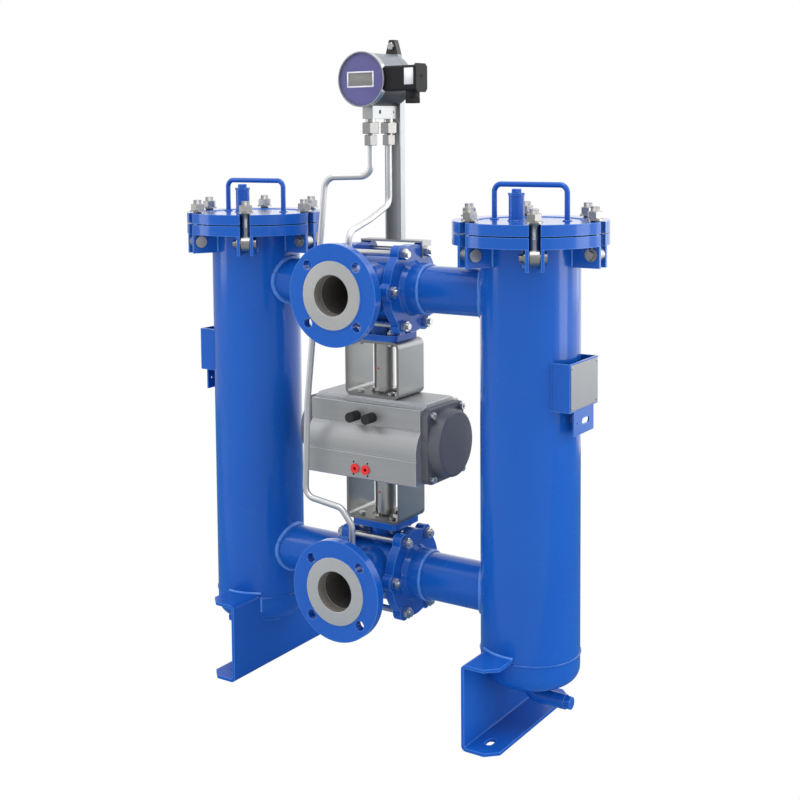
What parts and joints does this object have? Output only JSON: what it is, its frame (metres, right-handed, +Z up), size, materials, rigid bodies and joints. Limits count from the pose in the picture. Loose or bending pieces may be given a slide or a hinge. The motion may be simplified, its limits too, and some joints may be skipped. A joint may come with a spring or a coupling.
{
  "type": "duplex strainer",
  "caption": "Duplex pipeline strainer: two upright vessels with swing-bolted lids, switched by upper and lower three-way ball valves on one rack-and-pinion actuator, with a gauge.",
  "frame": {"origin": "on the floor under the two valves' common stem axis, midway between the vessels", "axes": "+Z up along the vessels, -Y towards the port flanges, +X towards the vessel that is on the right when seen from the ports"},
  "size_m": [0.906, 0.333, 1.262],
  "materials": {
    "blue_paint": "glossy mid-blue powder coat",
    "zinc_steel": "zinc-plated and stainless fasteners",
    "pin_steel": "plain steel pins",
    "basket_steel": "perforated stainless sheet",
    "gasket_rubber": "black flat gasket",
    "plate_steel": "matt stainless nameplate blank",
    "cast_blue": "blue paint over castings, bare machined faces",
    "seat_plastic": "white seat rings",
    "ball_steel": "polished balls",
    "stem_steel": "turned stainless shafts",
    "yoke_steel": "satin stainless sheet",
    "actuator_grey": "hard-anodised grey extrusion",
    "cap_graphite": "graphite coated end caps",
    "piston_grey": "machined pistons",
    "silencer_black": "black silencers",
    "plug_red": "red transit plugs",
    "gauge_grey": "silver-grey gauge case",
    "bezel_chrome": "bright ring",
    "dial_violet": "violet dial with an olive display",
    "gauge_glass": "clear window",
    "box_black": "black moulded connector box",
    "manifold_grey": "light grey block",
    "fitting_steel": "stainless compression fittings",
    "tube_steel": "stainless tube",
    "post_steel": "zinc-plated steel"
  },
  "bodies": {
    "frame": {"actuator_body": "actuator_grey", "actuator_end_caps": "cap_graphite", "ball_seats": "seat_plastic", "basket_left": "basket_steel", "basket_right": "basket_steel", "bolt_ears": "blue_paint", "branch_pipes": "blue_paint", "cable_gland": "box_black", "cap_screws": "zinc_steel", "closure_flanges": "blue_paint", "connector_box": "box_black", "drain_elbows": "blue_paint", "drain_plugs": "blue_paint", "foot_left": "blue_paint", "foot_right": "blue_paint", "gauge_bezel": "bezel_chrome", "gauge_dial": "dial_violet", "gauge_glass": "gauge_glass", "gauge_housing": "gauge_grey", "gauge_post": "post_steel", "hexagon_screws": "zinc_steel", "hinge_pins": "pin_steel", "impulse_tubes": "tube_steel", "lid_gaskets": "gasket_rubber", "lid_handles": "blue_paint", "lid_left": "blue_paint", "lid_right": "blue_paint", "manifold_block": "manifold_grey", "nameplate_brackets": "blue_paint", "nameplates": "plate_steel", "port_plugs": "plug_red", "silencers": "silencer_black", "stem_glands": "stem_steel", "tie_bolts": "zinc_steel", "tube_fittings": "fitting_steel", "valve_body_lower": "cast_blue", "valve_body_upper": "cast_blue", "valve_end_caps": "blue_paint", "vent_plugs": "blue_paint", "vessel_left": "blue_paint", "vessel_right": "blue_paint", "yokes": "yoke_steel"},
    "valve_shaft": {"balls": "ball_steel", "valve_stems": "stem_steel", "stem_couplings": "stem_steel", "drive_pinion": "stem_steel"},
    "left_piston": {"piston_left": "piston_grey"},
    "right_piston": {"piston_right": "piston_grey"},
    "closure_bolt_left_1": {"swing_bolt_left_1": "zinc_steel"},
    "closure_bolt_left_2": {"swing_bolt_left_2": "zinc_steel"},
    "closure_bolt_left_3": {"swing_bolt_left_3": "zinc_steel"},
    "closure_bolt_left_4": {"swing_bolt_left_4": "zinc_steel"},
    "closure_bolt_left_5": {"swing_bolt_left_5": "zinc_steel"},
    "closure_bolt_left_6": {"swing_bolt_left_6": "zinc_steel"},
    "closure_bolt_right_1": {"swing_bolt_right_1": "zinc_steel"},
    "closure_bolt_right_2": {"swing_bolt_right_2": "zinc_steel"},
    "closure_bolt_right_3": {"swing_bolt_right_3": "zinc_steel"},
    "closure_bolt_right_4": {"swing_bolt_right_4": "zinc_steel"},
    "closure_bolt_right_5": {"swing_bolt_right_5": "zinc_steel"},
    "closure_bolt_right_6": {"swing_bolt_right_6": "zinc_steel"}
  },
  "joints": [
    {"name": "changeover", "type": "hinge", "parent": "frame", "child": "valve_shaft", "pos_m": [0, 0, 0.5035], "axis": [0, 0, 1], "range_deg": [0, 90]},
    {"name": "right_rack_travel", "type": "slide", "parent": "frame", "child": "right_piston", "axis": [1, 0, 0], "range_m": [0, 0.0354]},
    {"name": "left_rack_travel", "type": "slide", "parent": "frame", "child": "left_piston", "axis": [-1, 0, 0], "range_m": [0, 0.0354]},
    {"name": "closure_bolt_left_1_swing", "type": "hinge", "parent": "frame", "child": "closure_bolt_left_1", "pos_m": [-0.25075, -0.10782, 0.871], "axis": [0.866, 0.5, 0], "range_deg": [0, 190]},
    {"name": "closure_bolt_left_2_swing", "type": "hinge", "parent": "frame", "child": "closure_bolt_left_2", "pos_m": [-0.1885, 0, 0.871], "axis": [0, 1, 0], "range_deg": [0, 105]},
    {"name": "closure_bolt_left_3_swing", "type": "hinge", "parent": "frame", "child": "closure_bolt_left_3", "pos_m": [-0.25075, 0.10782, 0.871], "axis": [-0.866, 0.5, 0], "range_deg": [0, 190]},
    {"name": "closure_bolt_left_4_swing", "type": "hinge", "parent": "frame", "child": "closure_bolt_left_4", "pos_m": [-0.37525, 0.10782, 0.871], "axis": [-0.866, -0.5, 0], "range_deg": [0, 190]},
    {"name": "closure_bolt_left_5_swing", "type": "hinge", "parent": "frame", "child": "closure_bolt_left_5", "pos_m": [-0.4375, 0, 0.871], "axis": [0, -1, 0], "range_deg": [0, 190]},
    {"name": "closure_bolt_left_6_swing", "type": "hinge", "parent": "frame", "child": "closure_bolt_left_6", "pos_m": [-0.37525, -0.10782, 0.871], "axis": [0.866, -0.5, 0], "range_deg": [0, 190]},
    {"name": "closure_bolt_right_1_swing", "type": "hinge", "parent": "frame", "child": "closure_bolt_right_1", "pos_m": [0.37525, -0.10782, 0.871], "axis": [0.866, 0.5, 0], "range_deg": [0, 190]},
    {"name": "closure_bolt_right_2_swing", "type": "hinge", "parent": "frame", "child": "closure_bolt_right_2", "pos_m": [0.4375, 0, 0.871], "axis": [0, 1, 0], "range_deg": [0, 190]},
    {"name": "closure_bolt_right_3_swing", "type": "hinge", "parent": "frame", "child": "closure_bolt_right_3", "pos_m": [0.37525, 0.10782, 0.871], "axis": [-0.866, 0.5, 0], "range_deg": [0, 190]},
    {"name": "closure_bolt_right_4_swing", "type": "hinge", "parent": "frame", "child": "closure_bolt_right_4", "pos_m": [0.25075, 0.10782, 0.871], "axis": [-0.866, -0.5, 0], "range_deg": [0, 190]},
    {"name": "closure_bolt_right_5_swing", "type": "hinge", "parent": "frame", "child": "closure_bolt_right_5", "pos_m": [0.1885, 0, 0.871], "axis": [0, -1, 0], "range_deg": [0, 105]},
    {"name": "closure_bolt_right_6_swing", "type": "hinge", "parent": "frame", "child": "closure_bolt_right_6", "pos_m": [0.25075, -0.10782, 0.871], "axis": [0.866, -0.5, 0], "range_deg": [0, 190]}
  ],
  "couplings": [
    {"joint": "right_rack_travel", "follows": "changeover", "m_per_rad": 0.0225},
    {"joint": "left_rack_travel", "follows": "changeover", "m_per_rad": 0.0225}
  ]
}
